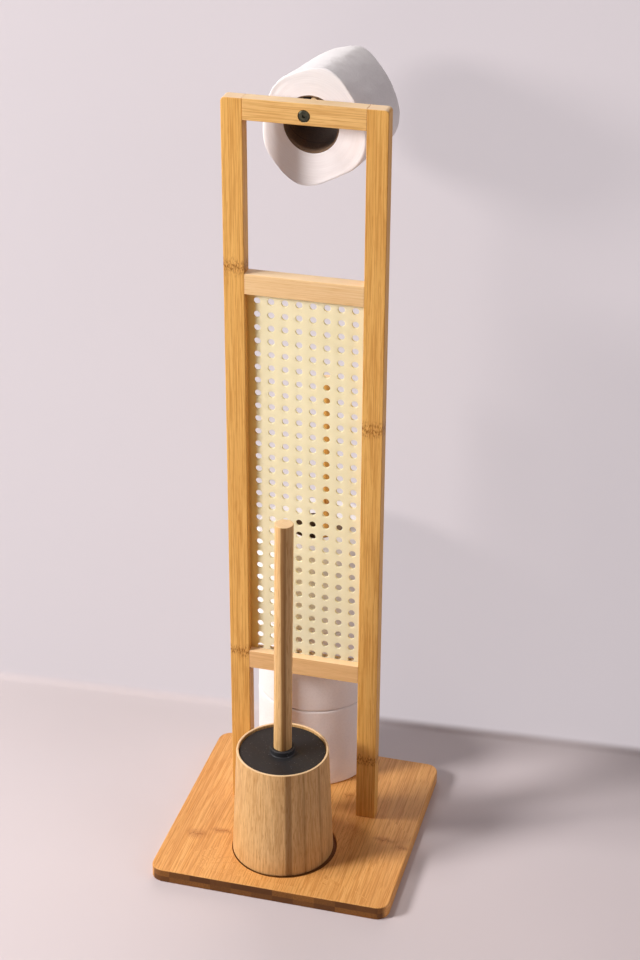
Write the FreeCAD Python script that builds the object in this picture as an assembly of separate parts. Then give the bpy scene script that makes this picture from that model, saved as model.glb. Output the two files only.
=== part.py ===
# A free-standing bamboo stand for toilet rolls and a toilet brush.
# Millimetres, +Z up. The origin is on the floor under the middle of the base board,
# +X points to the stand's right and +Y to its back.
import FreeCAD
import Part
import math
import os

vector = FreeCAD.Vector
tiny = 1e-4

# Base board
board_width = 240.0
board_depth = 242.0
board_thickness = 14.0
board_corner_radius = 13.0
board_edge_bevel = 1.2

# Frame: two posts and three rails, all cut from one bar
frame_width = 150.0
frame_front = 14.0            # front face of the frame, behind the board's middle
bar_width = 19.6
bar_depth = 14.5
bar_edge_bevel = 0.8
post_height = 742.8
post_shoulder_radius = 4.0    # outer top corners of the posts
upper_rail_level = 570.6      # middle of the rail above the board
lower_rail_level = 170.4

# Glued dowels between rails and posts
dowel_diameter = 6.0
dowel_length = 22.0
dowel_side_gap = 0.05
dowel_end_gap = 0.5
dowel_offset = 5.0            # keeps the dowels of the two panel rails clear of the groove

# Perforated panel, held in a groove all round
panel_thickness = 2.4
panel_setback = 8.2           # panel's front face behind the frame's front face
groove_depth = 8.5
groove_side_gap = 0.15
groove_end_gap = 0.5
hole_diameter = 6.4
hole_pitch = 13.2
hole_sides = 8               # flats that each round hole is drawn with
first_row_drop = 8.5          # middle of the first row under the upper rail

# Bolts with a hexagon socket, and the threaded inserts that they turn into
bolt_diameter = 5.0
bolt_head_diameter = 10.5
bolt_head_height = 3.2
bolt_head_bevel = 1.2
bolt_head_sunk = 0.2
bolt_grip = 16.0              # length of bolt inside an insert
bolt_hole_gap = 0.3
bolt_head_gap = 0.35
socket_width = 3.5
socket_depth = 2.0
insert_diameter = 7.2
insert_length = 18.0
insert_gap = 0.05
insert_end_gap = 1.5

# Arm that carries the roll in use
arm_diameter = 11.0
arm_length = 116.0
arm_end_bevel = 2.0
arm_drop = 1.5                # arm's axis under the middle of the top rail

# Rod that keeps the spare rolls in place
rod_diameter = 13.0
rod_height = 447.0
rod_inset = 21.0              # rod's axis in front of the board's back edge
rod_end_bevel = 2.5

# Rolls
roll_length = 92.4
roll_edge_bevel = 2.0
core_inner_diameter = 50.0
core_wall = 1.2
core_paper_gap = 0.05
fresh_roll_diameter = 120.0
used_roll_width = 97.0        # the roll in use is a little squashed
used_roll_height = 105.6
used_roll_sag = 1.5           # its paper hangs lower than its core
used_roll_face = 49.0         # front face, behind the board's middle
used_roll_turn = 5.0          # degrees that it hangs askew
used_roll_shift = 1.0
arm_clearance = 0.3           # least gap between arm and core
spare_roll_left = 12.5        # spare rolls' axis beside the rod's
spare_roll_back = 9.5         # and behind it
spare_roll_names = ("bottom", "middle", "top")

# Brush cup in its recess
recess_inset = 71.0           # recess's middle behind the board's front edge
recess_shift_x = -1.6         # recess's middle beside the board's
recess_depth = 2.0
recess_gap = 2.0
cup_shift_x = -1.5            # the cup stands a little off the recess's middle
cup_height = 118.0
cup_foot_radius = 50.1
cup_rim_radius = 45.2
cup_rim_wall = 2.6
cup_floor = 8.0
cup_foot_bevel = 3.0
cup_rim_bevel = 1.0

# Bucket inside the cup
liner_gap = 0.3
liner_wall = 1.6
liner_floor = 2.0
liner_foot_bevel = 3.0

# Lid on the brush, which rests on the bucket's rim
lid_drop = 2.4                # lid's top face under the cup's rim
lid_thickness = 3.0
lid_gap = 0.5
lid_edge_bevel = 0.8
skirt_depth = 6.0
skirt_wall = 2.0
skirt_gap = 0.5
collar_diameter = 24.6
collar_height = 6.0
collar_bevel = 1.4

# Brush
handle_diameter = 17.6
handle_length = 255.4
handle_end_bevel = 1.0
socket_floor = 2.0            # lid left under the handle
socket_side_gap = 0.1
stud_diameter = 5.0
stud_in_handle = 22.0
stud_in_stem = 14.0
stud_gap = 0.05
stud_end_gap = 0.5
stem_diameter = 11.0
head_diameter = 24.0
head_length = 66.0
head_bevel = 8.0
head_clearance = 7.0          # brush head above the bucket's floor
bristle_diameter = 72.0
bristle_length = 60.0
bristle_rows = 4
bristle_row_notch = 3.0
bristle_nose = 8.0            # how much the first and last rows draw in

# Places that follow from the sizes above
board_top = board_thickness
rod_y = board_depth / 2 - rod_inset
recess_y = recess_inset - board_depth / 2
frame_back = frame_front + bar_depth
frame_middle = frame_front + bar_depth / 2
frame_top = board_top + post_height
window_width = frame_width - 2 * bar_width
post_middle_x = (frame_width - bar_width) / 2
top_rail_z = frame_top - bar_width / 2
upper_rail_z = board_top + upper_rail_level
lower_rail_z = board_top + lower_rail_level
window_top = upper_rail_z - bar_width / 2
window_bottom = lower_rail_z + bar_width / 2
panel_tongue = groove_depth - groove_end_gap
panel_front = frame_front + panel_setback
head_recess_depth = bolt_head_height + bolt_head_sunk
arm_z = top_rail_z - arm_drop
core_outer_radius = core_inner_diameter / 2 + core_wall
cup_bottom = board_top - recess_depth
cup_rim = cup_bottom + cup_height
cup_bore_radius = cup_rim_radius - cup_rim_wall
liner_bottom = cup_bottom + cup_floor
liner_radius = cup_bore_radius - liner_gap
liner_inner_radius = liner_radius - liner_wall
lid_top = cup_rim - lid_drop
lid_bottom = lid_top - lid_thickness
handle_bottom = lid_bottom + socket_floor
head_bottom = liner_bottom + liner_floor + head_clearance
head_top = head_bottom + head_length


def box(low, high):
    size = [b - a for a, b in zip(low, high)]
    return Part.makeBox(size[0], size[1], size[2], vector(*low))


def upright(diameter, low, high, x=0.0, y=0.0):
    return Part.makeCylinder(diameter / 2, high - low, vector(x, y, low))


def crosswise(diameter, left, right, y, z):
    return Part.makeCylinder(diameter / 2, right - left, vector(left, y, z), vector(1, 0, 0))


def lengthwise(diameter, front, back, x, z):
    return Part.makeCylinder(diameter / 2, back - front, vector(x, front, z), vector(0, 1, 0))


def rounded(shape, radius, wanted):
    edges = [edge for edge in shape.Edges if wanted(edge)]
    return shape.makeFillet(radius, edges)


def bevelled(shape, size, wanted):
    edges = [edge for edge in shape.Edges if wanted(edge)]
    return shape.makeChamfer(size, edges)


def lies_at(edge, axis, value):
    bounds = edge.BoundBox
    low = (bounds.XMin, bounds.YMin, bounds.ZMin)[axis]
    high = (bounds.XMax, bounds.YMax, bounds.ZMax)[axis]
    return abs(low - value) < tiny and abs(high - value) < tiny


def runs_along(edge, axis):
    bounds = edge.BoundBox
    spans = [bounds.XLength, bounds.YLength, bounds.ZLength]
    spans.pop(axis)
    return max(spans) < tiny


def widest_circle(shape, z):
    level = [edge for edge in shape.Edges if lies_at(edge, 2, z)]
    return max(level, key=lambda edge: edge.BoundBox.XLength)


def bevel_rim(shape, z, size):
    return shape.makeChamfer(size, [widest_circle(shape, z)])


def ring(outer_diameter, inner_diameter, low, high):
    return upright(outer_diameter, low, high).cut(upright(inner_diameter, low, high))


# Fasteners

def bolt(length):
    head = upright(bolt_head_diameter, -bolt_head_height, 0.0)
    head = bevel_rim(head, -bolt_head_height, bolt_head_bevel)
    corner = socket_width / math.sqrt(3)
    turns = [math.radians(60 * step) for step in range(7)]
    hexagon = [vector(corner * math.cos(turn), corner * math.sin(turn), -bolt_head_height) for turn in turns]
    socket = Part.Face(Part.makePolygon(hexagon)).extrude(vector(0, 0, socket_depth))
    return head.fuse(upright(bolt_diameter, 0.0, length)).removeSplitter().cut(socket)


def insert():
    return ring(insert_diameter, bolt_diameter + 2 * insert_gap, 0.0, insert_length)


def facing_back(shape, x, y, z):
    turned = shape.copy()
    turned.rotate(vector(0, 0, 0), vector(1, 0, 0), -90)
    turned.translate(vector(x, y, z))
    return turned


def moved(shape, x, y, z):
    copy = shape.copy()
    copy.translate(vector(x, y, z))
    return copy


# Upright pieces that are bolted to the board from below
footings = ((-post_middle_x, frame_middle), (post_middle_x, frame_middle), (0.0, rod_y))


def base_bolts():
    one = bolt(board_thickness - head_recess_depth + bolt_grip)
    return Part.makeCompound([moved(one, x, y, head_recess_depth) for x, y in footings])


def base_inserts():
    return Part.makeCompound([moved(insert(), x, y, board_top) for x, y in footings])


def insert_hole(x, y):
    hole_end = board_top + insert_length + insert_end_gap
    return upright(insert_diameter + 2 * insert_gap, board_top, hole_end, x, y)


def arm_bolt():
    one = bolt(bar_depth - head_recess_depth + bolt_grip)
    return facing_back(one, 0.0, frame_front + head_recess_depth, arm_z)


def arm_insert():
    return facing_back(insert(), 0.0, frame_back, arm_z)


# Base board

def base_board():
    half_width = board_width / 2
    half_depth = board_depth / 2
    board = box((-half_width, -half_depth, 0.0), (half_width, half_depth, board_thickness))
    board = rounded(board, board_corner_radius, lambda edge: runs_along(edge, 2))
    board = bevelled(board, board_edge_bevel,
                     lambda edge: lies_at(edge, 2, board_top) or lies_at(edge, 2, 0.0))
    recess_diameter = 2 * (cup_foot_radius + recess_gap)
    board = board.cut(upright(recess_diameter, cup_bottom, board_top, recess_shift_x, recess_y))
    for x, y in footings:
        board = board.cut(upright(bolt_diameter + 2 * bolt_hole_gap, 0.0, board_top, x, y))
        board = board.cut(upright(bolt_head_diameter + 2 * bolt_head_gap, 0.0, head_recess_depth, x, y))
    return board


# Frame

# Height of each rail's dowels
top_dowel_z = top_rail_z
upper_dowel_z = upper_rail_z + dowel_offset
lower_dowel_z = lower_rail_z - dowel_offset
dowel_levels = (top_dowel_z, upper_dowel_z, lower_dowel_z)


def dowel_along_x(side, z, diameter, length):
    joint = side * window_width / 2
    return crosswise(diameter, joint - length / 2, joint + length / 2, frame_middle, z)


def dowel_holes(z):
    diameter = dowel_diameter + 2 * dowel_side_gap
    length = dowel_length + 2 * dowel_end_gap
    return [dowel_along_x(side, z, diameter, length) for side in (-1, 1)]


def rail_dowels():
    ends = [(side, z) for z in dowel_levels for side in (-1, 1)]
    return Part.makeCompound([dowel_along_x(side, z, dowel_diameter, dowel_length) for side, z in ends])


def panel_groove():
    reach_x = window_width / 2 + groove_depth
    front = panel_front - groove_side_gap
    back = panel_front + panel_thickness + groove_side_gap
    return box((-reach_x, front, window_bottom - groove_depth), (reach_x, back, window_top + groove_depth))


def post(side):
    outer = side * frame_width / 2
    inner = side * window_width / 2
    shape = box((min(outer, inner), frame_front, board_top), (max(outer, inner), frame_back, frame_top))
    shape = rounded(shape, post_shoulder_radius,
                    lambda edge: lies_at(edge, 0, outer) and lies_at(edge, 2, frame_top))
    shape = bevelled(shape, bar_edge_bevel,
                     lambda edge: (lies_at(edge, 1, frame_front) or lies_at(edge, 1, frame_back))
                     and not lies_at(edge, 2, board_top))
    shape = shape.cut(panel_groove())
    for dowel_z in dowel_levels:
        shape = shape.cut(dowel_holes(dowel_z))
    return shape.cut(insert_hole(side * post_middle_x, frame_middle))


def rail(rail_z, dowel_z):
    half = window_width / 2
    low = (-half, frame_front, rail_z - bar_width / 2)
    high = (half, frame_back, rail_z + bar_width / 2)
    shape = bevelled(box(low, high), bar_edge_bevel, lambda edge: runs_along(edge, 0))
    return shape.cut(dowel_holes(dowel_z))


def top_rail():
    shape = rail(top_rail_z, top_dowel_z)
    shape = shape.cut(lengthwise(bolt_diameter + 2 * bolt_hole_gap, frame_front, frame_back, 0.0, arm_z))
    recess_diameter = bolt_head_diameter + 2 * bolt_head_gap
    return shape.cut(lengthwise(recess_diameter, frame_front, frame_front + head_recess_depth, 0.0, arm_z))


def upper_rail():
    return rail(upper_rail_z, upper_dowel_z).cut(panel_groove())


def lower_rail():
    return rail(lower_rail_z, lower_dowel_z).cut(panel_groove())


# Panel: one sheet with a square pattern of round holes

def hole_centres():
    half_columns = int((window_width / 2 + hole_pitch / 2) // hole_pitch)
    rows = int((window_top - window_bottom - first_row_drop) // hole_pitch) + 1
    columns = [(step + 0.5) * hole_pitch for step in range(-half_columns, half_columns)]
    levels = [window_top - first_row_drop - step * hole_pitch for step in range(rows)]
    return [(x, z) for z in levels for x in columns]


def hole_outline(x, z):
    corner_radius = hole_diameter / 2 / math.cos(math.pi / hole_sides)
    turns = [2 * math.pi * (step + 0.5) / hole_sides for step in range(hole_sides + 1)]
    return Part.makePolygon([vector(x + corner_radius * math.cos(turn), panel_front,
                                    z + corner_radius * math.sin(turn)) for turn in turns])


def perforated_panel():
    half = window_width / 2 + panel_tongue
    low = window_bottom - panel_tongue
    high = window_top + panel_tongue
    back = vector(0, 1, 0)
    corners = ((-half, low), (half, low), (half, high), (-half, high), (-half, low))
    outline = Part.makePolygon([vector(x, panel_front, z) for x, z in corners])
    wires = [outline] + [hole_outline(x, z) for x, z in hole_centres()]
    sheet = Part.makeFace(wires, "Part::FaceMakerBullseye")
    return sheet.extrude(back * panel_thickness)


# Arm and rod

def roll_arm():
    end = frame_back + arm_length
    arm = lengthwise(arm_diameter, frame_back, end, 0.0, arm_z)
    arm = bevelled(arm, arm_end_bevel, lambda edge: lies_at(edge, 1, end))
    hole_end = frame_back + insert_length + insert_end_gap
    return arm.cut(lengthwise(insert_diameter + 2 * insert_gap, frame_back, hole_end, 0.0, arm_z))


def spare_rod():
    rod = upright(rod_diameter, board_top, board_top + rod_height, 0.0, rod_y)
    rod = bevel_rim(rod, board_top + rod_height, rod_end_bevel)
    return rod.cut(insert_hole(0.0, rod_y))


# Rolls, made about their own middle with the core along Z

def core_tube():
    half = roll_length / 2
    return ring(2 * core_outer_radius, core_inner_diameter, -half, half)


def wound_paper(outline):
    half = roll_length / 2
    paper = Part.Face(Part.Wire(outline.toShape())).extrude(vector(0, 0, roll_length))
    paper.translate(vector(0, 0, -half))
    for end in (-half, half):
        paper = bevel_rim(paper, end, roll_edge_bevel)
    return paper.cut(upright(2 * (core_outer_radius + core_paper_gap), -half, half))


def used_outline():
    outline = Part.Ellipse(vector(0, 0, 0), used_roll_height / 2, used_roll_width / 2)
    outline.rotate(FreeCAD.Placement(vector(0, 0, 0), vector(0, 0, 1), 90))
    outline.translate(vector(0, used_roll_sag, 0))
    return outline


def on_arm(shape):
    reach = used_roll_shift + math.sin(math.radians(used_roll_turn)) * roll_length / 2
    slack = (core_inner_diameter - arm_diameter) / 2 - arm_clearance
    core_drop = math.sqrt(slack ** 2 - reach ** 2)
    turned = facing_back(shape, 0.0, 0.0, 0.0)
    turned.rotate(vector(0, 0, 0), vector(0, 0, 1), -used_roll_turn)
    return moved(turned, used_roll_shift, used_roll_face + roll_length / 2, arm_z - core_drop)


def on_rod(shape, place):
    middle_z = board_top + (place + 0.5) * roll_length
    return moved(shape, -spare_roll_left, rod_y + spare_roll_back, middle_z)


def fresh_outline():
    return Part.Circle(vector(0, 0, 0), vector(0, 0, 1), fresh_roll_diameter / 2)


# Brush cup and bucket

def at_cup(shape):
    return moved(shape, recess_shift_x + cup_shift_x, recess_y, 0.0)


def cup_sleeve():
    cup = Part.makeCone(cup_foot_radius, cup_rim_radius, cup_height, vector(0, 0, cup_bottom))
    cup = bevel_rim(cup, cup_bottom, cup_foot_bevel)
    cup = cup.cut(upright(2 * cup_bore_radius, liner_bottom, cup_rim))
    cup = bevelled(cup, cup_rim_bevel, lambda edge: lies_at(edge, 2, cup_rim))
    return at_cup(cup)


def cup_liner():
    bucket = upright(2 * liner_radius, liner_bottom, lid_bottom)
    bucket = bevel_rim(bucket, liner_bottom, liner_foot_bevel)
    hollow = upright(2 * liner_inner_radius, liner_bottom + liner_floor, lid_bottom)
    hollow = bevel_rim(hollow, liner_bottom + liner_floor, liner_foot_bevel)
    return at_cup(bucket.cut(hollow))


# Brush

def stud_hole(low, high):
    return upright(stud_diameter + 2 * stud_gap, low, high)


def brush_lid():
    lid = upright(2 * (cup_bore_radius - lid_gap), lid_bottom, lid_top)
    lid = bevel_rim(lid, lid_top, lid_edge_bevel)
    collar = upright(collar_diameter, lid_bottom, lid_top + collar_height)
    collar = bevel_rim(collar, lid_top + collar_height, collar_bevel)
    skirt_radius = liner_inner_radius - skirt_gap
    skirt = ring(2 * skirt_radius, 2 * (skirt_radius - skirt_wall), lid_bottom - skirt_depth, lid_bottom)
    lid = lid.fuse([collar, skirt]).removeSplitter()
    socket_diameter = handle_diameter + 2 * socket_side_gap
    lid = lid.cut(upright(socket_diameter, handle_bottom, lid_top + collar_height))
    return at_cup(lid.cut(stud_hole(lid_bottom, handle_bottom)))


def brush_handle():
    handle = upright(handle_diameter, handle_bottom, handle_bottom + handle_length)
    handle = bevel_rim(handle, handle_bottom + handle_length, handle_end_bevel)
    return at_cup(handle.cut(stud_hole(handle_bottom, handle_bottom + stud_in_handle + stud_end_gap)))


def handle_stud():
    return at_cup(upright(stud_diameter, lid_bottom - stud_in_stem, handle_bottom + stud_in_handle))


def brush_stem():
    stem = upright(stem_diameter, head_top, lid_bottom)
    return at_cup(stem.cut(stud_hole(lid_bottom - stud_in_stem - stud_end_gap, lid_bottom)))


def brush_head():
    head = upright(head_diameter, head_bottom, head_top)
    return at_cup(bevel_rim(head, head_bottom, head_bevel))


def bristles():
    low = head_bottom + (head_length - bristle_length) / 2
    row_height = bristle_length / bristle_rows
    inner = head_diameter / 2
    profile = [vector(inner, 0, low)]
    for row in range(bristle_rows):
        end_row = row in (0, bristle_rows - 1)
        radius = bristle_diameter / 2 - (bristle_nose if end_row else 0.0)
        level = low + row * row_height
        profile.append(vector(radius - bristle_row_notch, 0, level))
        profile.append(vector(radius, 0, level + row_height / 2))
    profile.append(vector(radius - bristle_row_notch, 0, low + bristle_length))
    profile.append(vector(inner, 0, low + bristle_length))
    profile.append(profile[0])
    return at_cup(Part.Face(Part.makePolygon(profile)).revolve(vector(0, 0, 0), vector(0, 0, 1), 360))


def all_nodes():
    nodes = {
        "base_board": base_board(),
        "base_bolts": base_bolts(),
        "base_inserts": base_inserts(),
        "left_post": post(-1),
        "right_post": post(1),
        "top_rail": top_rail(),
        "upper_rail": upper_rail(),
        "lower_rail": lower_rail(),
        "rail_dowels": rail_dowels(),
        "perforated_panel": perforated_panel(),
        "roll_arm": roll_arm(),
        "arm_bolt": arm_bolt(),
        "arm_insert": arm_insert(),
        "spare_rod": spare_rod(),
        "used_roll_core": on_arm(core_tube()),
        "used_roll_paper": on_arm(wound_paper(used_outline())),
        "cup_sleeve": cup_sleeve(),
        "cup_liner": cup_liner(),
        "brush_lid": brush_lid(),
        "brush_handle": brush_handle(),
        "handle_stud": handle_stud(),
        "brush_stem": brush_stem(),
        "brush_head": brush_head(),
        "bristles": bristles(),
    }
    for place, name in enumerate(spare_roll_names):
        nodes["spare_roll_core_" + name] = on_rod(core_tube(), place)
        nodes["spare_roll_paper_" + name] = on_rod(wound_paper(fresh_outline()), place)
    return nodes


os.makedirs("parts", exist_ok=True)
for node, shape in all_nodes().items():
    shape.exportStep("parts/" + node + ".step")
    state = "valid" if shape.isValid() else "NOT VALID"
    print(node, len(shape.Solids), "solid(s)", round(shape.Volume), "mm3", state)
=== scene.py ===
import math

import bmesh
import bpy
from mathutils import Matrix, Vector, noise


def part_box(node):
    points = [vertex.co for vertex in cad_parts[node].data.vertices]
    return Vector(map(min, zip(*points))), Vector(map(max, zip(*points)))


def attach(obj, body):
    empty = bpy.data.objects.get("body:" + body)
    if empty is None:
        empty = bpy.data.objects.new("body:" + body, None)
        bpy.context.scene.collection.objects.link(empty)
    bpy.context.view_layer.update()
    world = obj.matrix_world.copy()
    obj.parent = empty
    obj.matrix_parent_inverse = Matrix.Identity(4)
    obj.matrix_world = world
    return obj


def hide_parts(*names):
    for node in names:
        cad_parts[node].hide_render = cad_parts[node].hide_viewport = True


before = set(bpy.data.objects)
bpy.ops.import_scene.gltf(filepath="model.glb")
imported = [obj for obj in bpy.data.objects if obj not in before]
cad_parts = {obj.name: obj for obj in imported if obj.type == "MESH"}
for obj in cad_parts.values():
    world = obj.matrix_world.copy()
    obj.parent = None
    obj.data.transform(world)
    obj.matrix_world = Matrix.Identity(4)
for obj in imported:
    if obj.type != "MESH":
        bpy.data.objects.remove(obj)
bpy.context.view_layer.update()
mm = 0.001  # sizes below are in millimetres, as on the drawing
weld = 0.000001  # metres within which points become one
touch = 0.00001  # metres within which a point counts as lying on an edge
over = 1.0  # mm that a cutter stands proud of what it cuts
postX = 65.2  # posts, to the left and right of the middle
cupMiddle = (-3.1, -50.0)  # axis of cup, bucket and brush
print("frame loaded:", len(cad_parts), "nodes")


def linear(hexColour):
    # written colour (sRGB) to Blender's linear one
    steps = [int(hexColour[i:i + 2], 16) / 255 for i in (0, 2, 4)]
    return [s / 12.92 if s <= 0.04045 else ((s + 0.055) / 1.055) ** 2.4 for s in steps] + [1.0]


def fill(tree, node, inputs):
    # a node's inputs take values, or links from other nodes
    for socket, value in inputs.items():
        if isinstance(value, bpy.types.NodeSocket):
            tree.links.new(value, node.inputs[socket])
        else:
            node.inputs[socket].default_value = value


def addNode(tree, kind, inputs=None, out=0, **settings):
    # one node with its settings and links, gives back the socket asked for
    node = tree.nodes.new(kind)
    for name, value in settings.items():
        setattr(node, name, value)
    fill(tree, node, inputs or {})
    return node.outputs[out]


def maths(tree, operation, *values):
    return addNode(tree, "ShaderNodeMath", dict(enumerate(values)), operation=operation)


def vectors(tree, operation, *values, out=0):
    return addNode(tree, "ShaderNodeVectorMath", dict(enumerate(values)), out, operation=operation)


def blend(tree, share, first, second):
    # the second colour laid over the first
    return addNode(tree, "ShaderNodeMix", {0: share, 6: first, 7: second}, out=2, data_type="RGBA")


def mixShaders(tree, share, first, second):
    return addNode(tree, "ShaderNodeMixShader", {0: share, 1: first, 2: second})


def spread(tree, value, low, high, start=0.0, end=1.0, kind="LINEAR"):
    # a value's range stretched to another one
    ends = {"Value": value, "From Min": low, "From Max": high, "To Min": start, "To Max": end}
    return addNode(tree, "ShaderNodeMapRange", ends, interpolation_type=kind)


def grainy(tree, spot, scale, detail, roughness=0.5):
    inputs = {"Vector": spot, "Scale": scale, "Detail": detail, "Roughness": roughness}
    return addNode(tree, "ShaderNodeTexNoise", inputs)


def split(tree, vector):
    return addNode(tree, "ShaderNodeSeparateXYZ", {0: vector}).node.outputs


def joined(tree, *parts):
    return addNode(tree, "ShaderNodeCombineXYZ", dict(enumerate(parts)))


def spotInMm(tree, look=None):
    # object coordinates in mm, about a piece's own axis where its place is given, and the face's direction
    place = addNode(tree, "ShaderNodeTexCoord", out="Object")
    normal = place.node.outputs["Normal"]
    if look:
        own = {"Vector": place, "Location": [p * mm for p in look["middle"]],
               "Rotation": [math.radians(t) for t in look["turns"]]}
        place = addNode(tree, "ShaderNodeMapping", own, vector_type="TEXTURE")
    return addNode(tree, "ShaderNodeVectorMath", {0: place, "Scale": 1 / mm}, operation="SCALE"), normal


def newMaterial(name):
    material = bpy.data.materials.new(name)
    material.use_nodes = True
    tree = material.node_tree
    return material, tree, tree.nodes["Principled BSDF"]


def dress(tree, shader, colour, height, look, inputs):
    # colour, relief and gloss of a finished material
    relief = {"Height": height, "Strength": look["relief"], "Distance": look["reliefDepth"] * mm}
    bump = addNode(tree, "ShaderNodeBump", relief)
    fill(tree, shader, {"Base Color": colour, "Normal": bump, **inputs})


def goTo(mode):
    bpy.ops.object.mode_set(mode=mode)


def restMode():
    # out of edit mode, with nothing selected
    if bpy.context.mode != "OBJECT":
        goTo("OBJECT")
    bpy.ops.object.select_all(action="DESELECT")


def take(*pieces):
    restMode()
    for piece in pieces:
        piece.select_set(True)
    bpy.context.view_layer.objects.active = pieces[0]


def pick(piece, kind, wanted):
    # in edit mode, selects the faces or edges that pass a test
    bpy.ops.mesh.select_mode(type=kind)
    bpy.ops.mesh.select_all(action="DESELECT")
    shape = bmesh.from_edit_mesh(piece.data)
    for element in {"FACE": shape.faces, "EDGE": shape.edges}[kind]:
        if wanted(element):
            element.select_set(True)
    shape.select_flush_mode()
    bmesh.update_edit_mesh(piece.data)


def roundEdges(piece, kind, wanted, size, segments):
    # in edit mode, bevels the edges that pass a test, or the outline of the faces that do
    pick(piece, kind, wanted)
    if kind == "FACE":
        bpy.ops.mesh.region_to_loop()
    bpy.ops.mesh.bevel(offset=size * mm, segments=segments, affect="EDGES")


def useModifier(piece, kind, **settings):
    take(piece)
    modifier = piece.modifiers.new(kind.lower(), kind)
    for name, value in settings.items():
        setattr(modifier, name, value)
    bpy.ops.object.modifier_apply(modifier=modifier.name)


def softenEdges(piece, size, segments, degrees):
    useModifier(piece, "BEVEL", width=size * mm, segments=segments, limit_method="ANGLE",
                angle_limit=math.radians(degrees))


def cutAway(piece, cutter):
    useModifier(piece, "BOOLEAN", operation="DIFFERENCE", solver="EXACT", object=cutter)
    bpy.data.objects.remove(cutter)


def settle():
    # place, turn and size go into the mesh
    bpy.ops.object.transform_apply(location=True, rotation=True, scale=True)
    return bpy.context.object


def setDown(piece, place, turns=(0, 0, 0)):
    take(piece)
    piece.rotation_euler = [math.radians(t) for t in turns]
    piece.location = [p * mm for p in place]
    settle()


def cleanMesh(piece):
    take(piece)
    goTo("EDIT")
    bpy.ops.mesh.select_all(action="SELECT")
    bpy.ops.mesh.remove_doubles(threshold=weld)
    bpy.ops.mesh.normals_make_consistent(inside=False)
    goTo("OBJECT")


def block(low, high):
    # a cuboid between two corners, in mm
    restMode()
    size = [(b - a) * mm for a, b in zip(low, high)]
    middle = [(a + b) / 2 * mm for a, b in zip(low, high)]
    bpy.ops.mesh.primitive_cube_add(size=1, location=middle, scale=size)
    return settle()


def arc(middleRadius, middleHeight, bend, start, end, steps=5):
    # quarter rounds of a lathe profile
    turns = [math.radians(start + (end - start) * i / steps) for i in range(steps + 1)]
    return [(middleRadius + bend * math.cos(t), middleHeight + bend * math.sin(t)) for t in turns]


def turned(profile, middle=(0, 0), sides=96, tube=False):
    # lathe work: a ring is pulled from height to height and resized on the way
    restMode()
    radius, height = profile[0]
    x, y = middle[0] * mm, middle[1] * mm
    bpy.ops.mesh.primitive_circle_add(vertices=sides, radius=radius * mm, location=(x, y, height * mm),
                                      fill_type="NOTHING" if tube else "NGON")
    piece = settle()
    goTo("EDIT")
    bpy.ops.mesh.select_all(action="SELECT")
    for nextRadius, nextHeight in profile[1:]:
        rise = (0, 0, (nextHeight - height) * mm)
        bpy.ops.mesh.extrude_region_move(TRANSFORM_OT_translate={"value": rise})
        grow = nextRadius / radius
        bpy.ops.transform.resize(value=(grow, grow, 1), center_override=(x, y, nextHeight * mm))
        radius, height = nextRadius, nextHeight
    cleanMesh(piece)
    return piece


def hole(width, start, end, middle=(0, 0), sides=48):
    return turned([(width / 2, start), (width / 2, end)], middle, sides)


def hand(piece, name, body, nodes, material, smooth=35):
    # last steps for every piece: clean mesh, soft shading, body, node, finish
    cleanMesh(piece)
    bpy.ops.object.shade_smooth_by_angle(angle=math.radians(smooth))
    useModifier(piece, "WEIGHTED_NORMAL", keep_sharp=True)
    piece.name = name
    piece.data.name = name
    piece.data.materials.clear()
    piece.data.materials.append(material)
    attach(piece, body)
    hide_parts(*nodes)


def inMm(node):
    return [[c / mm for c in corner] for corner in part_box(node)]


def middleOf(low, high):
    return [(a + b) / 2 for a, b in zip(low, high)]


grainLook = {
    # noises of the grain: scale across, in depth and along the fibres, and how fine it goes
    "noises": {"fibre": ((1.3, 1.3, 0.014), 3.0), "streak": ((0.8, 0.8, 0.016), 2.0),
               "dash": ((1.7, 1.7, 0.07), 1.0), "slow": ((0.16, 0.16, 0.006), 2.0),
               "curl": ((1.0, 1.0, 0.28), 1.0), "wave": ((0.3, 0.3, 0.05), 1.0)},
    "inkSpans": {"streak": (0.47, 0.62), "dash": (0.57, 0.68), "slow": (0.35, 0.75)},
    "fibreSpan": (0.3, 0.7), "curlSpan": (0.46, 0.64), "ringSpan": (0.25, 1.0), "stripAndShadeCore": 0.4,
    "layerNumber": 31.0, "stripShift": 700.0, "waveHeight": 10.0, "endSpan": (0.55, 0.8), "endNumber": 5.3,
    "poreScale": 1.3, "poreDetail": 2.0, "poreSpan": (0.4, 0.65), "poreShare": 0.6, "paintedTopLightSpan": (0.6, 0.9),
    "levelUp": 0.9, "roughness": (0.58, 0.44), "ior": 1.45, "relief": 0.35, "reliefDepth": 0.1,
    "ringRelief": 1.5,
}


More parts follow.
